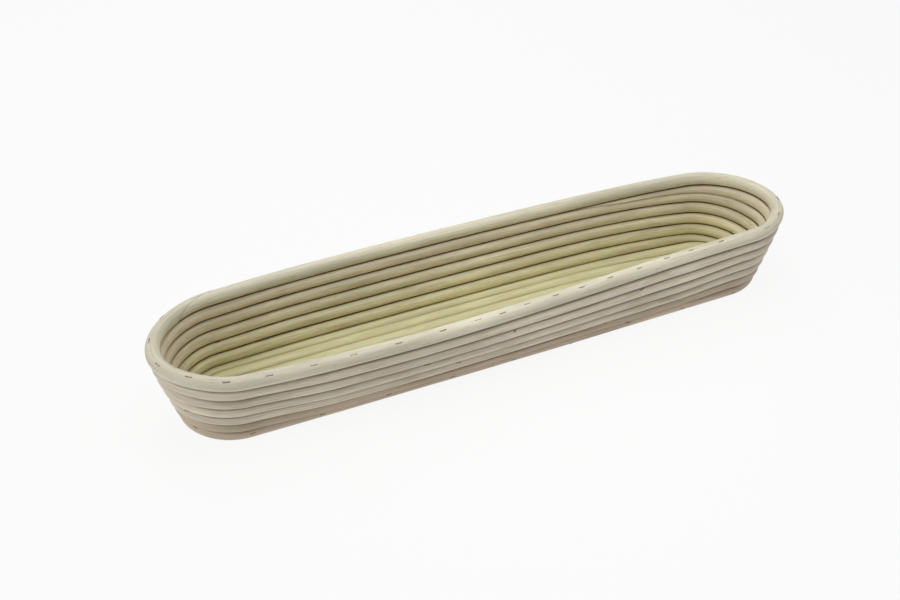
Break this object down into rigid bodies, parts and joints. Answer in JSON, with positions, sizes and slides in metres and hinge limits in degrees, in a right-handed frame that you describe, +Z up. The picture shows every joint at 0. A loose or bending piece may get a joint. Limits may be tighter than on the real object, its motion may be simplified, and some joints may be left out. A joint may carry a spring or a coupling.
{
  "type": "proofing basket",
  "caption": "Long oval proofing basket for baguette dough, coiled from round rattan cane with a flat floor, leaning wall and rim, held with wire staples.",
  "frame": {"origin": "middle of the flat underside of the floor", "axes": "+X along the length, +Y towards the far side in the picture, +Z up through the open top"},
  "size_m": [0.4718, 0.114, 0.0615],
  "materials": {
    "floor_rattan": "bare dry rattan core, pale yellow",
    "wall_rattan": "bare dry rattan core, grey beige",
    "rim_rattan": "bare dry rattan core, pinkish cream",
    "staple_wire": "dull galvanised steel wire"
  },
  "bodies": {
    "root": {"floor_cane": "floor_rattan", "lower_wall_cane": "wall_rattan", "upper_wall_cane": "wall_rattan", "rim_cane": "rim_rattan", "floor_staples_1": "staple_wire", "floor_staples_2": "staple_wire", "floor_staples_3": "staple_wire", "wall_staples_1": "staple_wire", "wall_staples_2": "staple_wire", "wall_staples_3": "staple_wire", "wall_staples_4": "staple_wire", "wall_staples_5": "staple_wire", "rim_staples": "staple_wire"}
  },
  "joints": []
}
